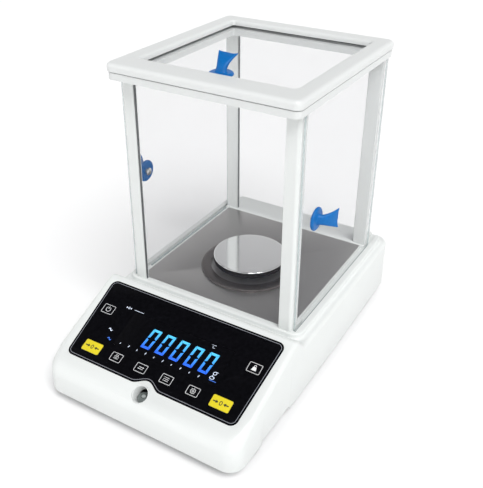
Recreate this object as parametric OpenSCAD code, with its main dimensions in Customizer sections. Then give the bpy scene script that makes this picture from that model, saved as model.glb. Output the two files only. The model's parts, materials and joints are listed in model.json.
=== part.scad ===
// Analytical balance: a white housing with a sloped control panel, and a glass
// weighing chamber with two side doors and a top door that slide backwards.
// Millimetres, +Z up, front towards -Y, origin on the table under the middle.

/* [Housing] */
// Width of the housing at its front and back corners
body_w = 220; // [214:1:226]
// How far each side bows out at half depth
side_bow = 2; // [1:0.5:4]
// Depth of the housing
body_d = 360; // [354:1:366]
// Height of the housing's lower edge above the table
foot_gap = 12; // [12:0.5:14]
// Wall thickness of the housing
wall = 2.5; // [2.2:0.1:3]
// Height of the shoulder beside the weighing deck
shoulder_z = 70; // [68:0.5:71]
// Height of the weighing deck
deck_z = 76.6; // [76:0.2:78]
// Slope of the control panel
panel_slope = 21.8; // [20:0.1:22]

/* [Draft shield] */
// Half width over the outer faces of the posts
post_x = 94.2; // [93:0.1:95]
// Front face of the front posts
chamber_front = -51.6; // [-53:0.1:-50]
// Back face of the rear posts
chamber_back = 142.5; // [140:0.5:145]
// Half width of the top frame and cover
lid_half_w = 100.2; // [100:0.1:102]
// Front edge of the top cover
lid_front = -67; // [-69:0.5:-64]
// Back edge of the top cover
lid_back = 149; // [148:0.5:152]
// Height of the underside of the lower top frame
frame_z = 301; // [290:1:310]
// Thickness of the sliding doors' glass
door_t = 2.5; // [2:0.1:2.6]
// How far a door stays clear of the grooves that guide it
door_gap = 0.3; // [0.2:0.05:0.4]

/* [Weighing pan] */
// Radius of the weighing pan
pan_r = 40; // [36:1:41]
// Height of the pan's upper face
pan_z = 91.4; // [89:0.2:94]
// Distance of the pan's centre behind the middle of the housing
pan_y = 32; // [28:1:36]

/* [Keys] */
// Width of a function key
key_w = 12.8; // [10:0.2:14]
// Height of a function key, measured up the slope
key_h = 9.4; // [8:0.2:10]
// Gap around each key
key_gap = 0.25; // [0.2:0.05:0.3]

/* [Feet] */
// Radius of a foot's thumbwheel
wheel_r = 14; // [12:0.5:15]
// Radius of a foot's threaded stud
stud_r = 4; // [3:0.5:4]

/* [Hidden] */
$fn = 64;
hull_fn = 32;
eps = 0.01;
big = 400;
// How far a cutter passes the face that it opens, and how far it goes through a wall
over = 1;
through = 20;

front_y = -body_d / 2;
back_y = body_d / 2;
corner_r = 16;
bow_steps = 12;

// Control panel: its frame starts at the middle of its front edge and runs up the slope.
panel_y = front_y + 18;
panel_z = 49;
panel_len = 92;
panel_half_front = 98;
panel_half_back = 103;
panel_t = 1.2;
panel_r = 7;
panel_fit = 0.15;
ridge_y = -70;
ridge_z = panel_z + (ridge_y - panel_y) * tan(panel_slope);
groove_y = -54;

// Display window in the panel, and what lies beneath it
window_x = 2;
window_v = 46.5;
window_w = 118;
window_h = 40;
window_r = 2;
window_sill = 2;
lcd_edge = 3;
lcd_top = -1.6;
board_t = 1.6;
board_top = -11.4;
board_half = 90;
board_v0 = 7;
board_v1 = 83;
board_post_r = 3;
board_hole_r = 1.6;
board_posts = [[-86, 77], [86, 77], [-58, 14], [58, 14]];

// Keys: name, centre across, centre up the slope, width, height
key_row_v = 15.3;
key_side_v = 58.3;
tare_w = 20.6;
tare_h = 11.8;
key_pitch = 29.8;
key_side_x = 86.2;
key_tare_x = 74.8;
KEYS = [
    ["key_power", -key_side_x, key_side_v, key_w + 1, key_h + 1],
    ["key_calibrate", key_side_x, key_side_v, key_w + 1, key_h + 1],
    ["key_tare_left", -key_tare_x, key_row_v, tare_w, tare_h],
    ["key_print", -1.5 * key_pitch, key_row_v, key_w, key_h],
    ["key_unit", -0.5 * key_pitch, key_row_v, key_w, key_h],
    ["key_mode", 0.5 * key_pitch, key_row_v, key_w, key_h],
    ["key_setup", 1.5 * key_pitch, key_row_v, key_w, key_h],
    ["key_tare_right", key_tare_x, key_row_v, tare_w, tare_h]
];
key_t = 0.7;
stem_half = 1.5;
stem_hole_half = 2.2;
stem_gap = 0.6;
key_r = 1.6;

// Spirit level in the front lip
level_y = front_y + 11.6;
level_z = 45.6;
level_tilt = 38;
bezel_r = 8.6;
bezel_bore = 7.2;
bezel_len = 7;
bezel_proud = 0.6;
vial_back = 4.5;
vial_r = 6;
vial_z0 = 30;
vial_h = 9.6;

// Weighing deck and door channels
plinth_half = 104;
plinth_back = 170;
plinth_r = 12;
door_in = post_x + 0.6;
door_out = door_in + door_t;
groove_in = door_in - door_gap;
groove_out = door_out + door_gap;
door_y0 = chamber_front + 3.6;
door_y1 = chamber_back - 1.5;
door_z0 = deck_z - 3.6;
door_head_gap = 0.4;
groove_z0 = door_z0 - door_head_gap;
trough_in = 90.5;
trough_y0 = chamber_front + 25;
trough_end = 4;
rear_trough = 3;
grip_y0 = -136;
grip_y1 = -82;
grip_h = 4.5;
floor_half = 89.4;
floor_t = 1.2;
floor_fit = 0.2;
floor_y0 = -46.2;
floor_y1 = 133;
spindle_hole_r = 9;
spindle_r = 3;
cone_gap = 0.3;
support_bore = 8;

// Posts
leg_x = 13.8;
leg_y = 13.2;
leg_t = 5;
side_leg_t = 4.2;
post_r = 3.5;
post_boss_r = 3.2;
boss_gap = 0.3;
screw_r = 1.5;
rear_post_w = 15;
rear_post_t = 6;
glass_t = 3;
glass_gap = 0.2;
glass_fit = 0.05;
glass_sink = 2.8;
glass_rise = 3;
slot_fit = 0.1;
slot_end = 0.2;
seat = 3.4;
post_head_r = 2.8;
post_head_h = 1.8;
front_glass_y = chamber_front + 1;
rear_glass_y = chamber_back - rear_post_t + 1.5;
post_screw_x = 89.4;
front_screw_y = chamber_front + 5.8;
rear_screw_x = post_x - 5;
rear_screw_y = chamber_back - rear_post_t / 2;

// Top frame, cover and top door
frame_t = 6.6;
seam_z = frame_z + frame_t;
cover_t = 9.4;
lid_r = 7;
cover_round = 4;
open_r = 3;
frame_inset = 0.8;
open_half = 82;
open_y0 = -39;
open_y1 = 131;
frame_open_half = 79;
frame_open_y0 = -36;
frame_open_y1 = 126;
top_glass_half = 88;
top_glass_y0 = -56;
top_glass_y1 = 138;
top_glass_z = seam_z + 0.3;

// Handles
handle_r = 11.6;
handle_disc = 3;
handle_h = 17.5;
handle_neck = 5.2;
handle_neck_h = 5.5;
handle_top = 10.5;
handle_lean = 13;
handle_tip = 1.3;
handle_root = 2.4;
handle_flare = 1.6;
handle_bend = 2.2;
handle_taper = 0.8;
handle_dip = 0.25;
handle_steps = 10;
handle_y = -18;
handle_z = 188;
top_handle_y = -25;
bolt_r = 2;
bolt_bore = 2.05;
bolt_hole_r = 2.25;
bolt_head_r = 4;
bolt_head_h = 1.6;
bolt_len = 9;
bolt_end_gap = 1.5;

// Feet
foot_x = 88;
foot_y = 156;
pad_t = 4;
pad_floor = 1.2;
foot_tip_r = 3;
foot_tip_z = 1.5;
thread_fit = 0.05;
wheel_z0 = 4.3;
wheel_z1 = 12.6;
tray_z0 = 13;
tray_t = 4;
boss_top = 26;
stud_boss_r = 9;
boss_in = 18;
boss_r = 4;
boss_bore = 8;
hook_hole_r = 12;
stud_top = 27;
FEET = [["front_left", -1, -1], ["front_right", 1, -1], ["rear_left", -1, 1], ["rear_right", 1, 1]];

// Weigh cell
cell_z0 = tray_z0 + tray_t;
cell_half = 30;
cell_y0 = 12;
cell_y1 = 124;
cell_h = 30;
magnet_y = 98;
magnet_r = 18;
beam_z = cell_z0 + cell_h + 4;
beam_t = 5;
beam_half = 8;
magnet_z = cell_z0 + 3;
coil_z = cell_z0 + 14;
shield_half = 46;
shield_y0 = -2;
shield_y1 = 140;
shield_top = 66;
sheet = 1;
board_gap = 9;

// Rear sockets: centre across, half width and half height of each square opening
jack_x = -72;
jack_hole_r = 6.2;
jack_sink = 0.4;
serial_x = -30;
usb_x = 14;
socket_z = 36;
socket_depth = 10;
SOCKETS = [[serial_x, 16, 6.6], [usb_x, 6.4, 6]];

// ---------- helpers ----------

// Half width of the housing at distance y from its middle
function side_x(y, inset) = body_w / 2 - inset + side_bow * (1 - pow(y / back_y, 2));

module plan(inset) {
    right = [for (i = [0 : bow_steps]) let (y = front_y + inset + i * (body_d - 2 * inset) / bow_steps)
        [side_x(y, inset), y]];
    left = [for (i = [bow_steps : -1 : 0]) [-right[i][0], right[i][1]]];
    r = corner_r - inset;
    offset(r = r) offset(delta = -r) polygon(concat(right, left));
}

// Foot positions moved inwards, where the housing is screwed to its base tray
module at_bosses() {
    for (f = FEET) translate([f[1] * (foot_x - boss_in), f[2] * foot_y, 0]) children();
}

// Outline of the housing seen from its right side: across is Y, up is Z
module side_profile(inset) {
    front_lean = 2;
    upright = 4;
    ridge_fall = groove_y - ridge_y;
    round_r = 6;
    offset(r = round_r - inset) offset(delta = -round_r)
    polygon([
        [front_y, -big],
        [front_y, foot_gap + upright],
        [front_y + front_lean, panel_z - (panel_y - front_y - front_lean) * tan(panel_slope)],
        [ridge_y, ridge_z],
        [ridge_y + ridge_fall, shoulder_z],
        [back_y, shoulder_z],
        [back_y, -big]
    ]);
}

// A 2-D side outline made solid across the whole width
module across(width) {
    translate([-width / 2, 0, 0]) rotate([90, 0, 90]) linear_extrude(width) children();
}

module rounded_rect(w, h, r) {
    offset(r = r, $fn = hull_fn) offset(delta = -r) square([w, h], center = true);
}

module slab(x0, x1, y0, y1, z0, z1) {
    translate([x0, y0, z0]) cube([x1 - x0, y1 - y0, z1 - z0]);
}

// Two cylinders, one on each side of the middle
module pair(x, y, z0, z1, r) {
    for (s = [-1, 1]) translate([s * x, y, z0]) cylinder(r = r, h = z1 - z0);
}

module rounded_slab(half, y0, y1, z0, z1, r) {
    translate([0, (y0 + y1) / 2, z0]) linear_extrude(z1 - z0) rounded_rect(2 * half, y1 - y0, r);
}

module on_panel() {
    translate([0, panel_y, panel_z]) rotate([panel_slope, 0, 0]) children();
}

module at_level() {
    translate([0, level_y, level_z]) rotate([level_tilt, 0, 0]) children();
}

module both_sides() {
    children();
    mirror([1, 0, 0]) children();
}

module panel_outline(inset) {
    level_v = -6;
    bite_r = 12.5;
    offset(r = panel_r - inset, $fn = hull_fn) offset(delta = -panel_r)
    difference() {
        polygon([[-panel_half_front, 0], [panel_half_front, 0],
            [panel_half_back, panel_len], [-panel_half_back, panel_len]]);
        translate([0, level_v]) circle(r = bite_r);
    }
}

module key_outlines(grow) {
    for (k = KEYS) translate([k[1], k[2]]) rounded_rect(k[3] + 2 * grow, k[4] + 2 * grow, key_r);
}

module window_outline(shrink) {
    translate([window_x, window_v]) rounded_rect(window_w - 2 * shrink, window_h - 2 * shrink, window_r);
}

// ---------- housing ----------

module housing_cavity() {
    intersection() {
        across(2 * big) side_profile(wall);
        translate([0, 0, -eps]) linear_extrude(big) plan(wall);
    }
}

module housing_form() {
    intersection() {
        across(2 * big) side_profile(0);
        translate([0, 0, foot_gap]) linear_extrude(big) plan(0);
    }
}

module upper_housing() color("white") difference() {
    union() {
        difference() {
            housing_form();
            housing_cavity();
        }
        rounded_slab(plinth_half, groove_y, plinth_back, shoulder_z - wall, deck_z, plinth_r);
        intersection() {
            housing_form();
            union() {
                at_bosses() translate([0, 0, cell_z0]) cylinder(r = boss_r, h = big);
                on_panel() for (p = board_posts) translate([p[0], p[1], board_top])
                    cylinder(r = board_post_r, h = -board_top - over);
            }
        }
    }
    at_bosses() cylinder(r = screw_r, h = cell_z0 + boss_bore);
    both_sides() slab(body_w / 2 - corner_r, big, grip_y0, grip_y1, 0, foot_gap + grip_h);
    on_panel() {
        translate([0, 0, -panel_t]) linear_extrude(through) panel_outline(0);
        translate([0, 0, -through]) linear_extrude(through + over) window_outline(window_sill);
        for (k = KEYS) translate([k[1] - stem_hole_half, k[2] - stem_hole_half, -through])
            cube([2 * stem_hole_half, 2 * stem_hole_half, through + over]);
    }
    at_level() translate([0, 0, -through]) cylinder(r = bezel_r, h = 2 * through);
    both_sides() {
        slab(groove_in, groove_out, door_y0 - door_gap, plinth_back + over, groove_z0, deck_z + over);
        slab(trough_in, groove_out, trough_y0, rear_glass_y - trough_end, groove_z0, deck_z + over);
        slab(trough_in, groove_out, chamber_back + rear_trough, plinth_back + over, groove_z0, deck_z + over);
    }
    slab(-floor_half - floor_fit, floor_half + floor_fit, floor_y0 - floor_fit, floor_y1 + floor_fit,
        deck_z - floor_t, deck_z + over);
    glass_slots(deck_z - glass_sink - slot_end, deck_z + over);
    translate([0, pan_y, deck_z - through]) cylinder(r = spindle_hole_r, h = 2 * through);
    post_screw_bores(deck_z - through, deck_z + over, screw_r);
    translate([jack_x, back_y - socket_depth, socket_z]) rotate([-90, 0, 0])
        cylinder(r = jack_hole_r, h = through);
    for (k = SOCKETS)
        slab(k[0] - k[1], k[0] + k[1], back_y - socket_depth, back_y + over,
            socket_z - k[2], socket_z + k[2]);
}

// Slots for the edges of the front and rear glass
module glass_slots(z0, z1) {
    for (g = [[post_x - leg_x, front_glass_y], [post_x - rear_post_w, rear_glass_y]])
        slab(-g[0] - seat - slot_fit, g[0] + seat + slot_fit,
            g[1] - slot_fit, g[1] + glass_t + slot_fit, z0, z1);
}

module post_screw_bores(z0, z1, r) {
    pair(post_screw_x, front_screw_y, z0, z1, r);
    pair(rear_screw_x, rear_screw_y, z0, z1, r);
}

module base_tray() color("silver") {
    inset = wall + 0.6;
    rib_t = 2.4;
    rib_h = 7;
    rib_x = 60;
    rib_len = 150;
    difference() {
        union() {
            translate([0, 0, tray_z0]) linear_extrude(tray_t) plan(inset);
            for (f = FEET) translate([f[1] * foot_x, f[2] * foot_y, tray_z0])
                cylinder(r = stud_boss_r, h = boss_top - tray_z0);
            for (x = [-rib_x, rib_x])
                slab(x - rib_t / 2, x + rib_t / 2, -rib_len, 0, tray_z0 + eps, cell_z0 + rib_h);
        }
        for (f = FEET) translate([f[1] * foot_x, f[2] * foot_y, 0])
            cylinder(r = stud_r + thread_fit, h = big);
        at_bosses() cylinder(r = screw_r, h = big);
        translate([0, pan_y, 0]) cylinder(r = hook_hole_r, h = big);
    }
}

module housing_screws() color("dimgray") {
    head_r = 3;
    head_h = 2;
    length = 12;
    at_bosses() translate([0, 0, tray_z0 - head_h]) {
        cylinder(r = head_r, h = head_h);
        cylinder(r = screw_r, h = length);
    }
}

module hook_cover() color("whitesmoke") {
    rim_r = 16;
    rim_t = 1;
    plug_h = 3.4;
    slot_half = [5, 0.8];
    slot_depth = 0.5;
    translate([0, pan_y, tray_z0 - rim_t]) difference() {
        union() {
            cylinder(r = rim_r, h = rim_t);
            cylinder(r = hook_hole_r - slot_fit, h = plug_h);
        }
        slab(-slot_half[0], slot_half[0], -slot_half[1], slot_half[1], -over, slot_depth);
    }
}

// ---------- control panel ----------

module control_panel() color("black") on_panel() difference() {
    translate([0, 0, -panel_t]) linear_extrude(panel_t) difference() {
        panel_outline(panel_fit);
        window_outline(0);
        key_outlines(key_gap);
    }
}

module display_window() color("#101418") on_panel()
    translate([0, 0, -panel_t]) linear_extrude(panel_t) window_outline(panel_fit);

module display_module() color("#0a3a66") on_panel()
    translate([window_x, window_v, board_top]) linear_extrude(lcd_top - board_top)
    square([window_w - 2 * lcd_edge, window_h - 2 * lcd_edge], center = true);

module display_board() color("darkgreen") on_panel() difference() {
    slab(-board_half, board_half, board_v0, board_v1, board_top - board_t, board_top);
    for (p = board_posts) translate([p[0], p[1], board_top - through])
        cylinder(r = board_hole_r, h = 2 * through);
}

module key(index) {
    k = KEYS[index];
    on_panel() translate([k[1], k[2], 0]) {
        translate([0, 0, -key_t]) linear_extrude(key_t) rounded_rect(k[3], k[4], key_r - key_gap);
        slab(-stem_half, stem_half, -stem_half, stem_half, board_top + stem_gap, -key_t + eps);
    }
}
module key_power() color("#202224") key(0);
module key_calibrate() color("#202224") key(1);
module key_tare_left() color("gold") key(2);
module key_print() color("#202224") key(3);
module key_unit() color("#202224") key(4);
module key_mode() color("#202224") key(5);
module key_setup() color("#202224") key(6);
module key_tare_right() color("gold") key(7);

module level_bezel() color("white") at_level() translate([0, 0, bezel_proud - bezel_len]) difference() {
    cylinder(r = bezel_r, h = bezel_len);
    translate([0, 0, -over]) cylinder(r = bezel_bore, h = bezel_len + 2 * over);
}

module level_vial() color("lightgray")
    translate([0, level_y + vial_back, vial_z0]) cylinder(r = vial_r, h = vial_h);

// ---------- feet ----------

module foot(f) color("dimgray") translate([f[1] * foot_x, f[2] * foot_y, 0]) {
    notches = 12;
    notch_r = 2;
    notch_out = 1;
    difference() {
        translate([0, 0, wheel_z0]) cylinder(r = wheel_r, h = wheel_z1 - wheel_z0);
        for (i = [0 : notches - 1]) rotate([0, 0, i * 360 / notches]) translate([wheel_r + notch_out, 0, 0])
            cylinder(r = notch_r, h = big);
    }
    translate([0, 0, wheel_z0]) cylinder(r = stud_r, h = stud_top - wheel_z0);
    translate([0, 0, foot_tip_z]) cylinder(r = foot_tip_r, h = wheel_z0 - foot_tip_z + eps);
}
module front_left_foot() foot(FEET[0]);
module front_right_foot() foot(FEET[1]);
module rear_left_foot() foot(FEET[2]);
module rear_right_foot() foot(FEET[3]);

module pad(f) color("#333333") translate([f[1] * foot_x, f[2] * foot_y, 0]) difference() {
    pad_r = 10.8;
    foot_edge = 0.8;
    top_edge = 1;
    rotate_extrude() polygon([[0, 0], [pad_r - foot_edge, 0], [pad_r, foot_edge], [pad_r, pad_t - top_edge],
        [pad_r - top_edge, pad_t], [0, pad_t]]);
    translate([0, 0, pad_floor]) cylinder(r = foot_tip_r + thread_fit, h = pad_t);
}
module front_left_pad() pad(FEET[0]);
module front_right_pad() pad(FEET[1]);
module rear_left_pad() pad(FEET[2]);
module rear_right_pad() pad(FEET[3]);

// ---------- posts and glass ----------

module front_right_post() color("white") difference() {
    translate([0, 0, deck_z]) linear_extrude(frame_z - deck_z) union() {
        intersection() {
            translate([post_x - leg_x, chamber_front]) square([leg_x, leg_y]);
            translate([post_x - big, chamber_front]) offset(r = post_r) offset(delta = -post_r)
                square([big, big]);
            union() {
                translate([0, chamber_front]) square([big, leg_t]);
                translate([post_x - side_leg_t, chamber_front]) square([big, leg_y]);
            }
        }
        translate([post_screw_x, front_screw_y]) circle(r = post_boss_r);
    }
    slab(post_x - leg_x - over, post_x - leg_x + seat, front_glass_y - glass_fit,
        front_glass_y + glass_t + glass_fit, deck_z - over, frame_z + over);
    translate([post_screw_x, front_screw_y, 0]) cylinder(r = screw_r, h = big);
}
module front_left_post() mirror([1, 0, 0]) front_right_post();

module rear_right_post() color("white") difference() {
    slab(post_x - rear_post_w, post_x, chamber_back - rear_post_t, chamber_back, deck_z, frame_z);
    slab(post_x - rear_post_w - over, post_x - rear_post_w + seat, rear_glass_y - glass_fit,
        rear_glass_y + glass_t + glass_fit, deck_z - over, frame_z + over);
    translate([rear_screw_x, rear_screw_y, 0]) cylinder(r = screw_r, h = big);
}
module rear_left_post() mirror([1, 0, 0]) rear_right_post();

module fixed_glass(half, y) color([0.8, 0.9, 0.95, 0.3])
    slab(-half, half, y, y + glass_t, deck_z - glass_sink, frame_z + glass_rise);
module front_glass() fixed_glass(post_x - leg_x + seat - glass_gap, front_glass_y);
module rear_glass() fixed_glass(post_x - rear_post_w + seat - glass_gap, rear_glass_y);

module post_screws() color("dimgray") {
    shank = 14;
    low = shoulder_z - wall;
    post_screw_bores(low - post_head_h, low, post_head_r);
    post_screw_bores(low - eps, low + shank, screw_r);
    post_screw_bores(seam_z - post_head_h, seam_z, post_head_r);
    post_screw_bores(seam_z - shank, seam_z - post_head_h + eps, screw_r);
}

// ---------- top frame ----------

module lower_top_frame() color("white") difference() {
    rounded_slab(lid_half_w - frame_inset, lid_front + frame_inset, lid_back - frame_inset,
        frame_z, seam_z, lid_r);
    rounded_slab(frame_open_half, frame_open_y0, frame_open_y1, frame_z - over, seam_z + over, open_r);
    both_sides() slab(groove_in, groove_out, door_y0 - door_gap, lid_back + over,
        frame_z - over, frame_z + glass_rise + door_head_gap);
    glass_slots(frame_z - over, frame_z + glass_rise + slot_end);
    post_screw_bores(frame_z - over, seam_z + over, screw_r);
    post_screw_bores(seam_z - post_head_h, seam_z + over, post_head_r);
}

module top_cover() color("white") difference() {
    union() {
        rounded_slab(lid_half_w, lid_front, lid_back, seam_z, seam_z + cover_t - cover_round, lid_r);
        hull() for (sx = [-1, 1], y = [lid_front, lid_back]) {
            side = y == lid_front ? 1 : -1;
            translate([sx * (lid_half_w - lid_r), y + side * lid_r, seam_z + cover_t - cover_round])
                rotate_extrude($fn = hull_fn) intersection() {
                    union() {
                        translate([lid_r - cover_round, 0]) circle(r = cover_round);
                        square([lid_r - cover_round, cover_round]);
                    }
                    square([lid_r, cover_round]);
                }
        }
    }
    rounded_slab(open_half, open_y0, open_y1, seam_z - over, seam_z + cover_t + over, open_r);
    slab(-top_glass_half - door_gap, top_glass_half + door_gap, top_glass_y0 - door_gap,
        lid_back + over, seam_z - over, top_glass_z + door_t + door_gap);
}

// ---------- doors ----------

module right_door_glass() color([0.8, 0.9, 0.95, 0.3]) difference() {
    slab(door_in, door_out, door_y0, door_y1, door_z0, frame_z + glass_rise);
    translate([door_in - over, handle_y, handle_z]) rotate([0, 90, 0])
        cylinder(r = bolt_hole_r, h = door_t + 2 * over);
}
module left_door_glass() mirror([1, 0, 0]) right_door_glass();

module top_door_glass() color([0.8, 0.9, 0.95, 0.3]) difference() {
    slab(-top_glass_half, top_glass_half, top_glass_y0, top_glass_y1, top_glass_z, top_glass_z + door_t);
    translate([0, top_handle_y, top_glass_z - over]) cylinder(r = bolt_hole_r, h = door_t + 2 * over);
}

// Half width of the handle at height h above the glass, waisted over its disc
function handle_half(h) = h > handle_neck_h
    ? handle_neck + (handle_top - handle_neck)
        * pow((h - handle_neck_h) / (handle_h - handle_neck_h), handle_flare)
    : handle_neck + handle_root * pow(1 - h / handle_neck_h, 2);

// How far the middle of the handle has swept back at height h, and how thick it is there
function handle_sweep(h) = handle_lean * pow(h / handle_h, handle_bend);
function handle_thick(h) = handle_half(0) + (handle_tip - handle_half(0)) * pow(h / handle_h, handle_taper);

module handle_front() {
    side = [for (i = [0 : handle_steps]) let (h = i * handle_h / handle_steps) [handle_half(h), h]];
    polygon(concat(side, [for (i = [handle_steps : -1 : 0]) [-side[i][0], side[i][1]]]));
}

module handle_side() {
    levels = [for (i = [0 : handle_steps]) i * handle_h / handle_steps];
    ahead = [for (h = levels) [handle_sweep(h) - handle_thick(h), h]];
    behind = [for (i = [handle_steps : -1 : 0]) let (h = levels[i])
        [handle_sweep(h) + handle_thick(h), h - handle_dip * handle_sweep(h)]];
    polygon(concat(ahead, behind));
}

// A pull handle: a waisted blade that stands on a disc, widens, and sweeps back along +Y
module handle() color("#0a6ed2") difference() {
    span = 3 * handle_r;
    union() {
        cylinder(r = handle_r, h = handle_disc);
        intersection() {
            translate([0, span, 0]) rotate([90, 0, 0]) linear_extrude(2 * span) handle_front();
            translate([-span, 0, 0]) rotate([90, 0, 90]) linear_extrude(2 * span) handle_side();
        }
    }
    translate([0, 0, -over]) cylinder(r = bolt_bore, h = bolt_len);
}
module right_handle() translate([door_out, handle_y, handle_z]) rotate([0, 90, 0]) handle();
module left_handle() mirror([1, 0, 0]) right_handle();
module top_handle() translate([0, top_handle_y, top_glass_z + door_t]) handle();

// A handle's screw, its head on the inner face of the glass
module handle_screw() color("silver") {
    socket_r = 1.4;
    socket_h = 1;
    difference() {
        translate([0, 0, -door_t - bolt_head_h]) cylinder(r = bolt_head_r, h = bolt_head_h);
        translate([0, 0, -door_t - bolt_head_h - over]) cylinder(r = socket_r, h = socket_h + over, $fn = 6);
    }
    translate([0, 0, -door_t - eps]) cylinder(r = bolt_r, h = bolt_len - bolt_end_gap);
}
module right_handle_screw()
    translate([door_out, handle_y, handle_z]) rotate([0, 90, 0]) handle_screw();
module left_handle_screw() mirror([1, 0, 0]) right_handle_screw();
module top_handle_screw() translate([0, top_handle_y, top_glass_z + door_t]) handle_screw();

// ---------- weighing chamber ----------

module floor_plate() color("gray") difference() {
    slab(-floor_half, floor_half, floor_y0, floor_y1, deck_z - floor_t, deck_z);
    translate([0, pan_y, deck_z - through]) cylinder(r = spindle_hole_r, h = 2 * through);
    pair(post_screw_x, front_screw_y, deck_z - through, deck_z + over, post_boss_r + boss_gap);
}

module draft_ring() color("dimgray") {
    inner = pan_r + 3;
    outer = 54;
    thick = 2.6;
    edge = 0.8;
    floor_gap = 0.2;
    translate([0, pan_y, deck_z + floor_gap]) rotate_extrude()
        polygon([[inner, 0], [outer, 0], [outer, thick - edge], [outer - edge, thick],
            [inner + edge, thick], [inner, thick - edge]]);
}

module pan_support() color("silver") translate([0, pan_y, 0]) difference() {
    hub_r = 7;
    hub_z = deck_z + 3;
    plate_r = 16;
    plate_z = pan_z - 4;
    plate_t = 1.2;
    flare = 3;
    pin_r = 5;
    pin_z = plate_z + 2.2;
    rotate_extrude() polygon([[0, hub_z], [hub_r, hub_z], [hub_r, plate_z - flare], [plate_r, plate_z],
        [plate_r, plate_z + plate_t], [pin_r, plate_z + plate_t], [pin_r, pin_z], [0, pin_z]]);
    translate([0, 0, deck_z]) cylinder(r = spindle_r + cone_gap, h = support_bore);
}

module weighing_pan() color("gainsboro") translate([0, pan_y, 0]) rotate_extrude() {
    skin = 1;
    skirt = 7;
    hub = 6;
    hub_t = 1.2;
    hub_h = 2.4;
    round_r = 1.6;
    difference() {
        union() {
            translate([0, pan_z - round_r]) square([pan_r - round_r, round_r]);
            translate([0, pan_z - skirt]) square([pan_r, skirt - round_r]);
            translate([pan_r - round_r, pan_z - round_r]) intersection() {
                circle(r = round_r);
                square(2 * round_r);
            }
        }
        translate([0, pan_z - skirt - over]) square([pan_r - skin, skirt + over - skin]);
    }
    translate([hub, pan_z - hub_h]) square([hub_t, hub_h - skin / 2]);
}

module weighing_spindle() color("silver") translate([0, pan_y, 0]) {
    top_gap = 0.4;
    foot_r = 5;
    foot_z = shoulder_z - 6;
    cone = 2;
    base_z = beam_z + beam_t;
    cone_top = deck_z + support_bore - top_gap;
    rotate_extrude() polygon([[0, base_z], [foot_r, base_z], [foot_r, foot_z], [spindle_r, foot_z + cone],
        [spindle_r, cone_top - cone], [cone, cone_top], [0, cone_top]]);
}

// ---------- weigh cell and electronics ----------

module cell_frame() color("silver") difference() {
    window_z = [7, 23];
    window_in = 10;
    web = 6;
    slab(-cell_half, cell_half, cell_y0, cell_y1, cell_z0, cell_z0 + cell_h);
    slab(-cell_half - over, cell_half + over, cell_y0 + window_in, magnet_y - magnet_r - web,
        cell_z0 + window_z[0], cell_z0 + window_z[1]);
    translate([0, magnet_y, magnet_z]) cylinder(r = magnet_r + slot_end, h = through + cell_h);
    translate([0, pan_y, cell_z0 - over]) cylinder(r = spindle_r * 2, h = cell_h + 2 * over);
}

module cell_magnet() color("dimgray") translate([0, magnet_y, magnet_z]) difference() {
    height = 24;
    pole_r = 9;
    gap_r = 14;
    gap_z = 8;
    cylinder(r = magnet_r, h = height);
    difference() {
        translate([0, 0, gap_z]) cylinder(r = gap_r, h = height);
        translate([0, 0, gap_z - over]) cylinder(r = pole_r, h = height + 2 * over);
    }
}

module cell_coil() color("#b87333") translate([0, magnet_y, coil_z]) difference() {
    outer = 12.6;
    inner = 10.4;
    cylinder(r = outer, h = beam_z - coil_z);
    translate([0, 0, -over]) cylinder(r = inner, h = through + cell_h);
}

module cell_beam() color("silver") difference() {
    pivot = 22;
    pivot_r = 3;
    coil_end = 13;
    slab(-beam_half, beam_half, pan_y - beam_half, magnet_y + coil_end, beam_z, beam_z + beam_t);
    translate([0, pan_y + pivot, beam_z - over]) cylinder(r = pivot_r, h = beam_t + 2 * over);
}

module position_sensor() color("#303030") {
    half = 9;
    front = magnet_y + 14;
    depth = 10;
    slab(-half, half, front, front + depth, cell_z0 + cell_h, beam_z + 8);
}

module cell_shield() color("lightsteelblue") difference() {
    hole_r = 8;
    slab(-shield_half, shield_half, shield_y0, shield_y1, cell_z0, shield_top);
    slab(-shield_half + sheet, shield_half - sheet, shield_y0 + sheet, shield_y1 - sheet,
        cell_z0 - over, shield_top - sheet);
    translate([0, pan_y, shield_top - sheet - over]) cylinder(r = hole_r, h = sheet + 2 * over);
}

module main_board() color("darkgreen") {
    x0 = -98;
    x1 = -54;
    y0 = 20;
    y1 = 130;
    corner = [5, 6];
    spacer_r = 2.5;
    chip = [[-86, -68], [60, 78]];
    chip_t = 2;
    top = cell_z0 + board_gap;
    slab(x0, x1, y0, y1, top, top + board_t);
    for (x = [x0 + corner[0], x1 - corner[0]], y = [y0 + corner[1], y1 - corner[1]])
        translate([x, y, cell_z0]) cylinder(r = spacer_r, h = board_gap + eps);
    slab(chip[0][0], chip[0][1], chip[1][0], chip[1][1], top + board_t - eps, top + board_t + chip_t);
}

// Flat cable from the main board to the display board
module ribbon_cable() color("lightgray") {
    left = -86;
    width = 20;
    thick = 0.8;
    under_gap = 0.3;
    lead = 4;
    end_v = 76;
    under = board_top - board_t;
    start = [30, cell_z0 + board_gap + board_t];
    rise = [4, start[1] + 8];
    top = [panel_y + end_v * cos(panel_slope) - under * sin(panel_slope),
        panel_z + end_v * sin(panel_slope) + under * cos(panel_slope) - under_gap];
    translate([left, 0, 0]) rotate([90, 0, 90]) linear_extrude(width)
        polygon([start, [start[0], start[1] + thick], [rise[0], rise[1] + thick], top,
            [top[0], top[1] - thick], [rise[0] - 1, rise[1]], [start[0] - lead, start[1]]]);
}

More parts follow.
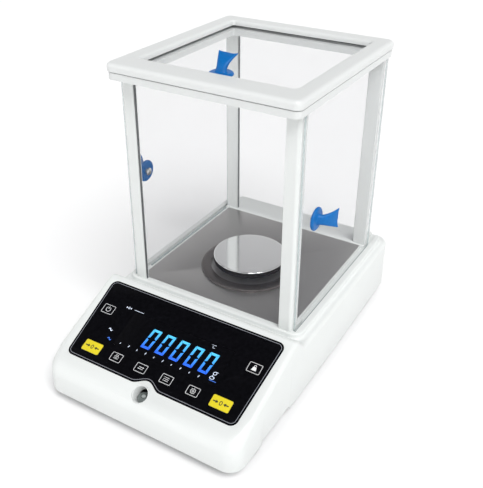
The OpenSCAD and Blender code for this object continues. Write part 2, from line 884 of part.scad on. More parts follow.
module dc_inlet() color("#1c1c1c") translate([jack_x, back_y - jack_sink, socket_z]) rotate([90, 0, 0]) {
    flange_r = 6;
    flange_t = 3;
    body_r = 5;
    bore_r = 2.8;
    pin_r = 1;
    difference() {
        union() {
            cylinder(r = flange_r, h = flange_t);
            cylinder(r = body_r, h = socket_depth + over);
        }
        translate([0, 0, -over]) cylinder(r = bore_r, h = socket_depth);
    }
    cylinder(r = pin_r, h = socket_depth);
}

// A box across the sockets' height, from its two sides, its depths behind the back face and half its height
module socket_slab(x, half_w, deep, shallow, half_h) {
    slab(x - half_w, x + half_w, back_y - deep, back_y - shallow, socket_z - half_h, socket_z + half_h);
}

module serial_port() color("silver") difference() {
    union() {
        socket_slab(serial_x, SOCKETS[0][1] - jack_sink, 2.2, 1, 6.2);
        socket_slab(serial_x, 9, socket_depth, 0, 4.6);
    }
    socket_slab(serial_x, 8.4, 8, -over, 4);
}

module usb_port() color("silver") difference() {
    socket_slab(usb_x, SOCKETS[1][1] - jack_sink, 16, jack_sink, SOCKETS[1][2] - jack_sink);
    socket_slab(usb_x, 4.4, 9, -over, 4.1);
}

upper_housing();
base_tray();
control_panel();
display_window();
display_module();
display_board();
key_power();
key_calibrate();
key_tare_left();
key_print();
key_unit();
key_mode();
key_setup();
key_tare_right();
level_bezel();
level_vial();
front_left_foot();
front_right_foot();
rear_left_foot();
rear_right_foot();
front_left_pad();
front_right_pad();
rear_left_pad();
rear_right_pad();
front_left_post();
front_right_post();
rear_left_post();
rear_right_post();
front_glass();
rear_glass();
lower_top_frame();
top_cover();
left_door_glass();
right_door_glass();
top_door_glass();
left_handle();
right_handle();
top_handle();
left_handle_screw();
right_handle_screw();
top_handle_screw();
floor_plate();
draft_ring();
pan_support();
weighing_pan();
cell_frame();
cell_magnet();
cell_coil();
cell_beam();
weighing_spindle();
position_sensor();
cell_shield();
main_board();
ribbon_cable();
dc_inlet();
serial_port();
usb_port();
housing_screws();
post_screws();
hook_cover();
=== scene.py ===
"""Analytical balance: detailed pieces, materials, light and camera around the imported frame."""

import json
import math

import bmesh
import bpy
from mathutils import Matrix, Vector


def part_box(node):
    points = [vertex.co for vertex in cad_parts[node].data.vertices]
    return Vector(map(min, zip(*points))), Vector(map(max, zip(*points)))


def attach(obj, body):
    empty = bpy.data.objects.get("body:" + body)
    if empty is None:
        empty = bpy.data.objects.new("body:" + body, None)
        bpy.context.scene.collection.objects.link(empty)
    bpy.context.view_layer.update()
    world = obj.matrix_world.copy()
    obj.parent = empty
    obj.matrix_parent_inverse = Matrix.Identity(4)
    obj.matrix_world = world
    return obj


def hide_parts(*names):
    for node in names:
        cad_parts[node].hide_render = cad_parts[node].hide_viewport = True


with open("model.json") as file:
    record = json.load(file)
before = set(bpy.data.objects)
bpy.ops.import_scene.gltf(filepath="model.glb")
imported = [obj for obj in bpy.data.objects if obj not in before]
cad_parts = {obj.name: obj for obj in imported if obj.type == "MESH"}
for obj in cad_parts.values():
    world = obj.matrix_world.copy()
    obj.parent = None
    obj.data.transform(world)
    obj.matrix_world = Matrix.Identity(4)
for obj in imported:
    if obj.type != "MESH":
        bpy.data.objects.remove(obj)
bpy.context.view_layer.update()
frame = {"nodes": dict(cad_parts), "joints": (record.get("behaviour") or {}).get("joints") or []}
MM = 0.001


# ---------- places, in millimetres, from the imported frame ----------

def box(node):
    """Lowest and highest corner of a CAD node, in millimetres."""
    low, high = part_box(node)
    return low / MM, high / MM


def joint(name):
    """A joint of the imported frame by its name."""
    return next(j for j in frame["joints"] if j["name"] == name)


BODY_LO, BODY_HI = box("upper_housing")
FLOOR_LO, FLOOR_HI = box("floor_plate")
COVER_LO, COVER_HI = box("top_cover")
DOOR_LO, DOOR_HI = box("right_door_glass")
LID_GLASS_LO, LID_GLASS_HI = box("top_door_glass")
PAN_LO, PAN_HI = box("weighing_pan")
PAN_Y = (PAN_LO.y + PAN_HI.y) / 2
DECK_Z = FLOOR_HI.z

PRESS = joint("key_power_press")["axis"]
SLOPE = math.atan2(PRESS[1], -PRESS[2])
PANEL_T = 1.2
PRINT_Z, PRINT_T = 0.03, 0.05
PANEL_LO, PANEL_HI = box("control_panel")
PANEL_Y = PANEL_LO.y
PANEL_Z = PANEL_LO.z + PANEL_T * math.cos(SLOPE)
PANEL_LEN = (PANEL_HI.z - PANEL_Z) / math.sin(SLOPE)
ON_PANEL = Matrix.Translation((0, PANEL_Y, PANEL_Z)) @ Matrix.Rotation(SLOPE, 4, "X")

SIDE_BOW = 2
CORNER_R = 16
WALL = 2.5
SHOULDER_Z = 70
RIDGE_Y = -70
GROOVE_Y = -54
GRIP_START, GRIP_END, GRIP_RISE = -135, -83, 4.5
LEVEL_R = 8.6
LEVEL_AXIS = Matrix.Translation((0, -168.4, 45.6)) @ Matrix.Rotation(math.radians(38), 4, "X")


def panel_rect(node):
    """A panel node's left, right, lower and upper edges, the last two measured up the slope."""
    low, high = box(node)
    return low.x, high.x, (low.y - PANEL_Y) / math.cos(SLOPE), (high.z - PANEL_Z) / math.sin(SLOPE)


# ---------- mesh helpers: everything is built in millimetres ----------

def new_object(name, mesh):
    """A new object in the scene around its mesh or curve."""
    obj = bpy.data.objects.new(name, mesh)
    bpy.context.scene.collection.objects.link(obj)
    return obj


def from_bmesh(name, bm):
    """A new object from a bmesh, with all its faces looking outwards."""
    mesh = bpy.data.meshes.new(name)
    bmesh.ops.recalc_face_normals(bm, faces=bm.faces)
    bm.to_mesh(mesh)
    bm.free()
    return new_object(name, mesh)


def apply_modifiers(obj):
    """Turns an object with modifiers, or a curve, into a plain mesh object of the same name."""
    depsgraph = bpy.context.evaluated_depsgraph_get()
    mesh = bpy.data.meshes.new_from_object(obj.evaluated_get(depsgraph))
    name = obj.name
    bpy.data.objects.remove(obj)
    return new_object(name, mesh)


def loft(name, rings, around=False):
    """A solid through rings of equally many points; around joins the last ring to the first."""
    bm = bmesh.new()
    rows = [[bm.verts.new(p) for p in ring] for ring in rings]
    count = len(rows[0])
    pairs = zip(rows, rows[1:] + rows[:1]) if around else zip(rows, rows[1:])
    for low, high in pairs:
        for i in range(count):
            j = (i + 1) % count
            bm.faces.new((low[i], low[j], high[j], high[i]))
    if not around:
        bm.faces.new(rows[0])
        bm.faces.new(rows[-1])
    return from_bmesh(name, bm)


def lathe(name, profile, steps=96, centre=(0, 0, 0)):
    """A solid of revolution about Z from (radius, height) points; radius 0 makes a pole."""
    turns = [2 * math.pi * i / steps for i in range(steps)]
    bm = bmesh.new()
    rows = []
    for r, z in profile:
        if r == 0:
            rows.append([bm.verts.new((0, 0, z))] * steps)
        else:
            rows.append([bm.verts.new((r * math.cos(a), r * math.sin(a), z)) for a in turns])
    closed = profile[0] == profile[-1]
    if closed:
        rows[-1] = rows[0]
    for low, high in zip(rows, rows[1:]):
        for i in range(steps):
            j = (i + 1) % steps
            corners = []
            for v in (low[i], low[j], high[j], high[i]):
                if v not in corners:
                    corners.append(v)
            if len(corners) > 2:
                bm.faces.new(corners)
    bmesh.ops.translate(bm, verts=bm.verts, vec=centre)
    return from_bmesh(name, bm)


def plate(name, loops, z0, z1, bevel=0.0, place=None, steps=2):
    """A flat plate from closed 2-D outlines, inner ones being holes, with rounded edges."""
    curve = bpy.data.curves.new(name, "CURVE")
    curve.dimensions = "2D"
    curve.fill_mode = "BOTH"
    curve.extrude = (z1 - z0) / 2 - bevel
    curve.bevel_depth = bevel
    curve.bevel_resolution = steps
    curve.offset = -bevel
    for loop in loops:
        spline = curve.splines.new("POLY")
        spline.points.add(len(loop) - 1)
        for point, (x, y) in zip(spline.points, loop):
            point.co = (x, y, 0, 1)
        spline.use_cyclic_u = True
    obj = apply_modifiers(new_object(name, curve))
    bm = bmesh.new()
    bm.from_mesh(obj.data)
    bmesh.ops.remove_doubles(bm, verts=bm.verts, dist=1e-4)
    bmesh.ops.translate(bm, verts=bm.verts, vec=(0, 0, (z0 + z1) / 2))
    if place:
        bmesh.ops.transform(bm, verts=bm.verts, matrix=place)
    bmesh.ops.recalc_face_normals(bm, faces=bm.faces)
    bm.to_mesh(obj.data)
    bm.free()
    return obj


def block(name, low, high):
    """A box between two corners."""
    bm = bmesh.new()
    bmesh.ops.create_cube(bm, size=1)
    size = [b - a for a, b in zip(low, high)]
    centre = [(a + b) / 2 for a, b in zip(low, high)]
    bmesh.ops.scale(bm, verts=bm.verts, vec=size)
    bmesh.ops.translate(bm, verts=bm.verts, vec=centre)
    return from_bmesh(name, bm)


def rod(name, radius, length, place):
    """A round bar that starts at a place and runs along its Z axis."""
    obj = lathe(name, [(0, 0), (radius, 0), (radius, length), (0, length)], 64)
    obj.data.transform(place)
    return obj


def join(name, objects):
    """Several meshes as one object."""
    bm = bmesh.new()
    for obj in objects:
        bm.from_mesh(obj.data)
        bpy.data.objects.remove(obj)
    return from_bmesh(name, bm)


def cut(obj, cutters):
    """Cuts solids out of an object, one after the other."""
    for tool in cutters:
        change = obj.modifiers.new("cut", "BOOLEAN")
        change.operation = "DIFFERENCE"
        change.solver = "EXACT"
        change.object = tool
    done = apply_modifiers(obj)
    for tool in cutters:
        bpy.data.objects.remove(tool)
    return done


def bevelled(obj, width, angle):
    """Rounds the edges that are sharper than an angle."""
    change = obj.modifiers.new("bevel", "BEVEL")
    change.width = width
    change.segments = 2
    change.limit_method = "ANGLE"
    change.angle_limit = math.radians(angle)
    change.use_clamp_overlap = True
    return apply_modifiers(obj)


def smooth(mesh, angle=35):
    """Smooth shading, except over edges that are sharper than an angle."""
    for polygon in mesh.polygons:
        polygon.use_smooth = True
    mesh.set_sharp_from_angle(angle=math.radians(angle))


def piece(obj, body, material, replaces=(), angle=35):
    """Scales a finished mesh to metres and hands it to the frame."""
    obj.data.transform(Matrix.Scale(MM, 4))
    smooth(obj.data, angle)
    obj.data.materials.append(material)
    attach(obj, body)
    if replaces:
        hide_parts(*replaces)
    return obj


def soften(node, width, material, angle=40):
    """Gives a CAD node its material and a small bevel on its edges."""
    obj = frame["nodes"][node]
    obj.data.materials.clear()
    obj.data.materials.append(material)
    weld = obj.modifiers.new("weld", "WELD")
    weld.merge_threshold = 1e-6
    change = obj.modifiers.new("bevel", "BEVEL")
    change.width = width * MM
    change.segments = 2
    change.limit_method = "ANGLE"
    change.angle_limit = math.radians(angle)
    change.harden_normals = True


# ---------- 2-D outlines ----------

def arc(cx, cy, r, start, end, steps):
    """Points on an arc between two angles in degrees."""
    angles = [math.radians(start + (end - start) * i / steps) for i in range(steps + 1)]
    return [(cx + r * math.cos(a), cy + r * math.sin(a)) for a in angles]


def rounded_rect(x0, x1, y0, y1, r, steps=8):
    """A rectangle with round corners, counter-clockwise."""
    r = max(r, 0.01)
    return (arc(x1 - r, y0 + r, r, -90, 0, steps) + arc(x1 - r, y1 - r, r, 0, 90, steps)
            + arc(x0 + r, y1 - r, r, 90, 180, steps) + arc(x0 + r, y0 + r, r, 180, 270, steps))


def ring(outline, z):
    """A 2-D outline lifted to a height."""
    return [(x, y, z) for x, y in outline]


def circle(x, y, r, steps=40):
    """Points round a circle, each only once."""
    return arc(x, y, r, 0, 360, steps)[:-1]


def panel_loop(inset):
    """The panel's outline with the notch for the level in its front edge."""
    corner, taper, notch_half, notch_rise, notch_steps = 7, 5, 16, 6.6, 20
    front = PANEL_HI.x - taper - inset
    back = PANEL_HI.x - inset
    r = corner - inset
    half = notch_half + inset / 2
    notch = []
    for i in range(notch_steps + 1):
        x = -half + 2 * half * i / notch_steps
        notch.append((x, inset + notch_rise * (0.5 + 0.5 * math.cos(math.pi * x / half))))
    top = PANEL_LEN - inset
    return (notch + arc(front - r, inset + r, r, -90, 0, 8) + arc(back - r, top - r, r, 0, 90, 8)
            + arc(-back + r, top - r, r, 90, 180, 8) + arc(-front + r, inset + r, r, 180, 270, 8))


def stroke(bm, points, width, z, closed=False):
    """A flat line of a given width along 2-D points of the panel, as a thin solid."""
    count = len(points)
    sides = []
    for i, (x, y) in enumerate(points):
        before = points[i - 1] if i or closed else points[i]
        after = points[(i + 1) % count] if i < count - 1 or closed else points[i]
        dx, dy = after[0] - before[0], after[1] - before[1]
        size = math.hypot(dx, dy) or 1
        nx, ny = -dy / size * width / 2, dx / size * width / 2
        corners = [(x + nx, y + ny, z), (x - nx, y - ny, z), (x - nx, y - ny, z - PRINT_T),
                   (x + nx, y + ny, z - PRINT_T)]
        sides.append([bm.verts.new(ON_PANEL @ Vector(c)) for c in corners])
    last = count if closed else count - 1
    for i in range(last):
        a, b = sides[i], sides[(i + 1) % count]
        for k in range(4):
            bm.faces.new((a[k], a[(k + 1) % 4], b[(k + 1) % 4], b[k]))
    if not closed:
        bm.faces.new(sides[0])
        bm.faces.new(sides[-1])


def fill(bm, points, z):
    """A flat convex patch on the panel, as a thin solid."""
    top = [bm.verts.new(ON_PANEL @ Vector((x, y, z))) for x, y in points]
    bottom = [bm.verts.new(ON_PANEL @ Vector((x, y, z - PRINT_T))) for x, y in points]
    bm.faces.new(top)
    bm.faces.new(bottom)
    for i in range(len(points)):
        j = (i + 1) % len(points)
        bm.faces.new((top[i], top[j], bottom[j], bottom[i]))


# ---------- materials ----------

def shader(name):
    """A new material with its node tree and its main surface node."""
    material = bpy.data.materials.new(name)
    material.use_nodes = True
    tree = material.node_tree
    return material, tree, tree.nodes["Principled BSDF"]


def textured(name, colour, rough, metallic=0.0, grain=900.0, stretch=(1, 1, 1), vary=0.05,
             rough_vary=0.06, bump=0.05, coat=0.0, specular=0.5):
    """A surface with fine grain: noise drives its colour, its roughness and its bump."""
    material, tree, surface = shader(name)
    nodes, links = tree.nodes, tree.links
    place = nodes.new("ShaderNodeTexCoord")
    mapping = nodes.new("ShaderNodeMapping")
    mapping.inputs["Scale"].default_value = stretch
    noise = nodes.new("ShaderNodeTexNoise")
    noise.inputs["Scale"].default_value = grain
    noise.inputs["Detail"].default_value = 4
    links.new(place.outputs["Object"], mapping.inputs["Vector"])
    links.new(mapping.outputs["Vector"], noise.inputs["Vector"])
    ramp = nodes.new("ShaderNodeValToRGB")
    ramp.color_ramp.elements[0].position = 0.3
    ramp.color_ramp.elements[1].position = 0.7
    ramp.color_ramp.elements[0].color = (*[c * (1 - vary) for c in colour], 1)
    ramp.color_ramp.elements[1].color = (*[min(1, c * (1 + vary)) for c in colour], 1)
    links.new(noise.outputs["Fac"], ramp.inputs["Fac"])
    links.new(ramp.outputs["Color"], surface.inputs["Base Color"])
    spread = nodes.new("ShaderNodeMapRange")
    spread.inputs["To Min"].default_value = max(0.02, rough - rough_vary)
    spread.inputs["To Max"].default_value = rough + rough_vary
    links.new(noise.outputs["Fac"], spread.inputs["Value"])
    links.new(spread.outputs["Result"], surface.inputs["Roughness"])
    relief = nodes.new("ShaderNodeBump")
    relief.inputs["Strength"].default_value = bump
    relief.inputs["Distance"].default_value = 0.0002
    links.new(noise.outputs["Fac"], relief.inputs["Height"])
    links.new(relief.outputs["Normal"], surface.inputs["Normal"])
    surface.inputs["Metallic"].default_value = metallic
    surface.inputs["Coat Weight"].default_value = coat
    surface.inputs["Coat Roughness"].default_value = 0.05
    surface.inputs["Specular IOR Level"].default_value = specular
    return material


def clear(name, colour, face_alpha, edge_alpha, rough=0.03):
    """Glass as a thin film: nearly clear face on, and denser where it is seen at a low angle."""
    material, tree, surface = shader(name)
    nodes, links = tree.nodes, tree.links
    weight = nodes.new("ShaderNodeLayerWeight")
    weight.inputs["Blend"].default_value = 0.25
    spread = nodes.new("ShaderNodeMapRange")
    spread.inputs["To Min"].default_value = face_alpha
    spread.inputs["To Max"].default_value = edge_alpha
    links.new(weight.outputs["Facing"], spread.inputs["Value"])
    links.new(spread.outputs["Result"], surface.inputs["Alpha"])
    surface.inputs["Base Color"].default_value = (*colour, 1)
    surface.inputs["Roughness"].default_value = rough
    surface.inputs["Specular IOR Level"].default_value = 0.5
    return material


def glowing(name, low_colour, high_colour, low_z, high_z, strength):
    """A lit display segment whose colour changes with its height on the slope."""
    material, tree, surface = shader(name)
    nodes, links = tree.nodes, tree.links
    place = nodes.new("ShaderNodeTexCoord")
    split = nodes.new("ShaderNodeSeparateXYZ")
    spread = nodes.new("ShaderNodeMapRange")
    spread.inputs["From Min"].default_value = low_z
    spread.inputs["From Max"].default_value = high_z
    ramp = nodes.new("ShaderNodeValToRGB")
    ramp.color_ramp.elements[0].color = (*low_colour, 1)
    ramp.color_ramp.elements[1].color = (*high_colour, 1)
    links.new(place.outputs["Object"], split.inputs["Vector"])
    links.new(split.outputs["Z"], spread.inputs["Value"])
    links.new(spread.outputs["Result"], ramp.inputs["Fac"])
    links.new(ramp.outputs["Color"], surface.inputs["Emission Color"])
    surface.inputs["Emission Strength"].default_value = strength
    surface.inputs["Base Color"].default_value = (0, 0, 0, 1)
    surface.inputs["Roughness"].default_value = 0.3
    return material


WHITE = textured("housing_white", (0.695, 0.715, 0.705), 0.42, grain=1500, vary=0.015, bump=0.06)
FRAME = textured("frame_white", (0.66, 0.675, 0.67), 0.40, grain=1500, vary=0.015, bump=0.06)
PANEL = textured("panel_black", (0.003, 0.003, 0.004), 0.14, grain=300, vary=0.3, rough_vary=0.03,
                 bump=0.0, specular=0.04)
YELLOW = textured("key_yellow", (0.72, 0.60, 0.02), 0.34, grain=1400, vary=0.05, bump=0.05, coat=0.2)
BLUE = textured("handle_blue", (0.001, 0.125, 0.40), 0.4, grain=700, vary=0.12, bump=0.08, specular=0.25)
LEGEND = textured("legend_white", (0.75, 0.76, 0.78), 0.5, grain=2500, vary=0.08, bump=0.0)
LEGEND_GREY = textured("legend_grey", (0.24, 0.25, 0.28), 0.5, grain=2500, vary=0.1, bump=0.0)
LEGEND_BLACK = textured("legend_black", (0.02, 0.02, 0.02), 0.5, grain=2500, vary=0.2, bump=0.0)
FLOOR_STEEL = textured("floor_steel", (0.40, 0.39, 0.385), 0.33, metallic=0.9, grain=200,
                       stretch=(1, 9, 9), vary=0.06, rough_vary=0.06, bump=0.05)
# The draft ring's steel is darkened far below real steel: painted shade from the pan above it.
RING_STEEL_PAINTED_SHADE = textured("ring_steel_painted_shade", (0.15, 0.135, 0.13), 0.3, metallic=0.85, grain=900, vary=0.05,
                      rough_vary=0.02, bump=0.0)
PAN_STEEL = textured("pan_steel", (0.94, 0.94, 0.94), 0.09, metallic=1.0, grain=260,
                     stretch=(1, 10, 1), vary=0.03, rough_vary=0.03, bump=0.01)
# The pan's skirt is near black instead of steel: a painted dark reflection.
PAN_SKIRT_PAINTED_REFLECTION = textured("pan_rim_painted_dark_reflection", (0.010, 0.008, 0.008), 0.3, grain=900, vary=0.2, specular=0.15)
BRIGHT = textured("bright_steel", (0.60, 0.60, 0.59), 0.2, metallic=1.0, grain=800, vary=0.08)
DARK_STEEL = textured("dark_steel", (0.10, 0.10, 0.105), 0.35, metallic=0.9, grain=900, vary=0.15)
ALLOY = textured("cast_alloy", (0.52, 0.53, 0.54), 0.55, metallic=0.8, grain=600, vary=0.1, bump=0.3)
COPPER = textured("copper", (0.60, 0.25, 0.10), 0.35, metallic=1.0, grain=400, stretch=(1, 1, 20))
BOARD = textured("circuit_board", (0.012, 0.11, 0.04), 0.4, grain=900, vary=0.25)
CABLE = textured("cable_grey", (0.42, 0.43, 0.45), 0.5, grain=300, stretch=(12, 1, 1), vary=0.15)
BLACK = textured("black_plastic", (0.018, 0.018, 0.019), 0.5, grain=1600, vary=0.2, bump=0.25)
RUBBER = textured("rubber", (0.028, 0.028, 0.027), 0.8, grain=1300, vary=0.2, bump=0.35)
CELL = textured("display_cell", (0.01, 0.02, 0.05), 0.3, grain=900, vary=0.2)
GLASS = clear("clear_glass", (0.20, 0.21, 0.25), 0.028, 0.11)
GLASS_EDGE = textured("glass_edge", (0.115, 0.12, 0.125), 0.15, grain=400, vary=0.15)
DOOR_EDGE = clear("door_edge", (0.42, 0.50, 0.50), 0.55, 0.8, 0.1)
LIQUID = textured("level_liquid", (0.13, 0.15, 0.145), 0.08, grain=300, vary=0.1, coat=1.0)
BUBBLE = textured("level_bubble", (0.34, 0.37, 0.36), 0.1, grain=300, vary=0.1, coat=1.0)
DIGIT_LOW_Z = (PANEL_Z + 36 * math.sin(SLOPE)) * MM
DIGIT_HIGH_Z = (PANEL_Z + 57 * math.sin(SLOPE)) * MM
DIGITS = glowing("lit_digits", (0.03, 0.16, 1.0), (0.10, 0.62, 1.0), DIGIT_LOW_Z, DIGIT_HIGH_Z, 1.25)
LIT_WHITE = glowing("lit_marks", (0.66, 0.78, 1.0), (0.80, 0.88, 1.0), 0, 0.1, 1.3)
LIT_BLUE = glowing("lit_blue", (0.06, 0.2, 1.0), (0.10, 0.3, 1.0), 0, 0.1, 1.0)


# ---------- housing ----------

def soft_min(a, b, k):
    """The lesser of two values, rounded off where they differ by less than k."""
    blend = max(k - abs(a - b), 0) / k
    return min(a, b) - blend * blend * k / 4


def top_height(y):
    """Height of the housing's upper side: the slope, its ridge, and the shoulder behind it."""
    slope = PANEL_Z + (y - PANEL_Y) * math.tan(SLOPE)
    fall = PANEL_Z + (RIDGE_Y - PANEL_Y) * math.tan(SLOPE) - (y - RIDGE_Y)
    behind = -soft_min(-fall, -SHOULDER_Z, 6)
    return soft_min(slope, behind, 5)


def edge_radius(y):
    """Radius of the housing's upper edge: large at the front lip, small along the sides."""
    side_r, lip_r, lip_start, lip_length = 5, 11, -146, 28
    t = min(1, max(0, (lip_start - y) / lip_length))
    return side_r + (lip_r - side_r) * t * t * (3 - 2 * t)


def side_stations():
    """Places along the side where the outline needs a point, from front to back."""
    end, steps, ridge_before, ridge_length = BODY_HI.y - CORNER_R, 44, 6, 28
    coarse = [-end + 2 * end * i / steps for i in range(steps + 1)]
    ridge = [RIDGE_Y - ridge_before + i for i in range(ridge_length)]
    grip = [GRIP_START + step for step in (-3, -1, 1)] + [GRIP_END + step for step in (-1, 1, 3)]
    return sorted({round(y, 3) for y in coarse + ridge + grip if -end <= y <= end})


def housing_outline(inset):
    """The housing's plan, counter-clockwise from its front left corner; inset may vary by point."""
    half = BODY_HI.x - SIDE_BOW
    end = BODY_HI.y - CORNER_R
    sides = side_stations()
    points = []

    def corner(sx, sy, start):
        cx = half + SIDE_BOW * (1 - (end / BODY_HI.y) ** 2) - CORNER_R
        for i in range(11):
            a = math.radians(start + 9 * i)
            y_out = sy * end + CORNER_R * math.sin(a)
            r = CORNER_R - inset(y_out)
            points.append((sx * cx + r * math.cos(a), sy * end + r * math.sin(a), y_out))

    corner(-1, -1, 180)
    corner(1, -1, 270)
    for y in sides[1:-1]:
        points.append((half + SIDE_BOW * (1 - (y / BODY_HI.y) ** 2) - inset(y), y, y))
    corner(1, 1, 0)
    corner(-1, 1, 90)
    for y in reversed(sides[1:-1]):
        points.append((-half - SIDE_BOW * (1 - (y / BODY_HI.y) ** 2) + inset(y), y, y))
    return points


def lower_edge(x, y):
    """The housing's lower edge, raised between two points of each side as a finger grip."""
    on_side = abs(x) > BODY_HI.x - CORNER_R
    return BODY_LO.z + (GRIP_RISE if on_side and GRIP_START < y < GRIP_END else 0)


def housing_ring(offset, angle):
    """One ring of the rounded upper edge, at an angle from 0, its foot, to 90 degrees, its top."""
    inward, short = 1 - math.cos(math.radians(angle)), 1 - math.sin(math.radians(angle))
    outline = housing_outline(lambda y: offset + (edge_radius(y) - offset) * inward)
    return [(x, y, top_height(y) - offset - (edge_radius(s) - offset) * short) for x, y, s in outline]


def housing_rings(offset):
    """The housing's side and rounded upper edge, all moved inwards by an offset."""
    steps = 8
    foot = [(x, y, lower_edge(x, y)) for x, y, _ in housing_outline(lambda y: offset)]
    return [foot] + [housing_ring(offset, 90 * k / steps) for k in range(steps + 1)]


def bridge_top(bm, row, first):
    """Closes a ring across X, joining each point of one side to its mirror on the other."""
    size = len(row)
    a, b = first, (first + 1) % size
    for _ in range(size // 2 - 1):
        na, nb = (a - 1) % size, (b + 1) % size
        bm.faces.new((row[a], row[b], row[nb], row[na]))
        a, b = na, nb


def shell():
    """The housing as a closed shell: an outer and an inner skin joined at the lower edge."""
    outer, inner = housing_rings(0), housing_rings(WALL)
    bm = bmesh.new()
    rows = [[bm.verts.new(p) for p in points] for points in inner[::-1] + outer]
    count = len(rows[0])
    for low, high in zip(rows, rows[1:]):
        for i in range(count):
            j = (i + 1) % count
            bm.faces.new((low[i], low[j], high[j], high[i]))
    front_left_corner = 10
    for row in (rows[0], rows[-1]):
        bridge_top(bm, row, front_left_corner)
    return from_bmesh("upper_housing_skin", bm)


def plinth():
    """The raised deck that carries the chamber, with a hollow foot and a rounded top edge."""
    x, y0, y1, r = 104, GROOVE_Y, 170, 12
    foot, top_r = 3.5, 1.8
    rings = [ring(rounded_rect(-x - foot, x + foot, y0 - foot, y1 + foot, r + foot), SHOULDER_Z - 1.5)]
    for k in range(7):
        a = math.radians(15 * k)
        out = foot * (1 - math.sin(a))
        rings.append(ring(rounded_rect(-x - out, x + out, y0 - out, y1 + out, r + out),
                          SHOULDER_Z + foot * (1 - math.cos(a))))
    for k in range(6):
        a = math.radians(18 * k)
        d = top_r * (1 - math.cos(a))
        outline = rounded_rect(-x + d, x - d, y0 + d, y1 - d, r - d)
        rings.append(ring(outline, DECK_Z - top_r * (1 - math.sin(a))))
    return loft("plinth", rings)


def skin_cutters():
    """What is cut out of the skin: the panel's recess, the level's hole, and the sockets' holes."""
    gap, depth, level_depth, jack_r = 0.4, 8, 16, 6.3
    back = BODY_HI.y
    level_hole = LEVEL_AXIS @ Matrix.Translation((0, 0, -level_depth))
    low, high = box("dc_inlet")
    jack = (low + high) / 2
    quarter = Matrix.Rotation(math.radians(-90), 4, "X")
    facing_back = Matrix.Translation((jack.x, back - depth, jack.z)) @ quarter
    tools = [plate("recess", [panel_loop(-0.15)], -PANEL_T, 6, place=ON_PANEL),
             rod("level_hole", LEVEL_R + 0.1, 40, level_hole), rod("jack_hole", jack_r, 20, facing_back)]
    for port in ("serial_port", "usb_port"):
        low, high = box(port)
        tools.append(block(port + "_hole", (low.x - gap, back - depth, low.z - gap),
                           (high.x + gap, back + depth / 2, high.z + gap)))
    return tools


def channel(side, x0, x1, y0, y1):
    """A groove of the deck for a side door; side is -1 on the left and 1 on the right."""
    left, right = sorted((side * x0, side * x1))
    return block("channel", (left, y0, DOOR_LO.z - 0.4), (right, y1, DECK_Z + 5))


def deck_cutters():
    """What is cut out of the deck: the floor plate's bed, and the two door channels with their wide ends."""
    bed_gap, door_gap = 0.25, 0.35
    wide_x, wide_start, rear_start, channel_end, rear_end = 90.5, -26.6, 145.5, 175, 176
    inner, outer = DOOR_LO.x - door_gap, DOOR_HI.x + door_gap
    tools = [block("floor_cut", (FLOOR_LO.x - bed_gap, FLOOR_LO.y - bed_gap, FLOOR_LO.z - 0.02),
                   (FLOOR_HI.x + bed_gap, FLOOR_HI.y + bed_gap, DECK_Z + 5))]
    rear = box("rear_glass")[0].y
    for side in (-1, 1):
        tools += [channel(side, inner, outer, DOOR_LO.y - door_gap, channel_end),
                  channel(side, wide_x, outer - 0.01, wide_start, rear - 4),
                  channel(side, wide_x, outer - 0.01, rear_start, rear_end)]
    return tools


def build_housing():
    """The upper housing: its skin, and the deck that carries the chamber."""
    skin = bevelled(cut(shell(), skin_cutters()), 0.35, angle=55)
    deck = bevelled(cut(plinth(), deck_cutters()), 0.3, angle=50)
    piece(join("upper_housing_shell", [skin, deck]), "housing", WHITE, ("upper_housing",))


def build_base():
    """The base tray with its screws, the cover of the weighing hook, and the four feet."""
    soften("base_tray", 0.4, ALLOY)
    soften("hook_cover", 0.2, FRAME)
    soften("housing_screws", 0.15, DARK_STEEL)
    soften("post_screws", 0.15, DARK_STEEL)
    for corner in ("front_left", "front_right", "rear_left", "rear_right"):
        build_foot(corner)


def build_foot(corner):
    """A notched thumbwheel on its stud, and the rubber pad under it."""
    low, high = box(corner + "_foot")
    x, y = (low.x + high.x) / 2, (low.y + high.y) / 2
    pad_lo, pad_hi = box(corner + "_pad")
    wheel_r, tip_r, stud_r = (high.x - low.x) / 2, 3, 4
    bottom, top = pad_hi.z + 0.3, 12.6
    notches, per_notch, depth = 12, 10, 0.9
    count = notches * per_notch

    def outline(shrink):
        points = []
        for i in range(count):
            a = 2 * math.pi * i / count
            r = wheel_r - shrink - depth * (0.5 + 0.5 * math.cos(notches * a)) ** 3
            points.append((x + r * math.cos(a), y + r * math.sin(a)))
        return points
    levels = [(6, bottom), (1.2, bottom), (0.4, bottom + 0.4), (0, bottom + 1.2), (0, top - 1.2),
              (0.4, top - 0.4), (1.2, top), (6, top)]
    wheel = loft("wheel", [ring(outline(d), z) for d, z in levels])
    profile = [(0, low.z), (tip_r, low.z), (tip_r, bottom + 0.1), (stud_r, bottom + 0.1),
               (stud_r, high.z - 0.6), (stud_r - 0.6, high.z), (0, high.z)]
    foot = join(corner + "_thumbwheel", [wheel, lathe("stud", profile, 48, (x, y, 0))])
    piece(foot, corner + "_foot", BLACK, (corner + "_foot",))
    r, hole_r, hole_floor, top = (pad_hi.x - pad_lo.x) / 2, 3.1, 1.25, pad_hi.z
    profile = [(0, 0), (r - 1.4, 0), (r - 0.9, 0.25), (r - 0.25, 0.9), (r, 1.6), (r, top - 1.3),
               (r - 0.3, top - 0.6), (r - 1, top), (hole_r + 0.2, top), (hole_r, top - 0.2),
               (hole_r, hole_floor), (0, hole_floor)]
    pad = lathe(corner + "_rubber_pad", profile, 72, (x, y, 0))
    piece(pad, corner + "_pad", RUBBER, (corner + "_pad",))


# ---------- control panel ----------

KEYS = ("key_power", "key_calibrate", "key_tare_left", "key_print", "key_unit", "key_mode", "key_setup",
        "key_tare_right")


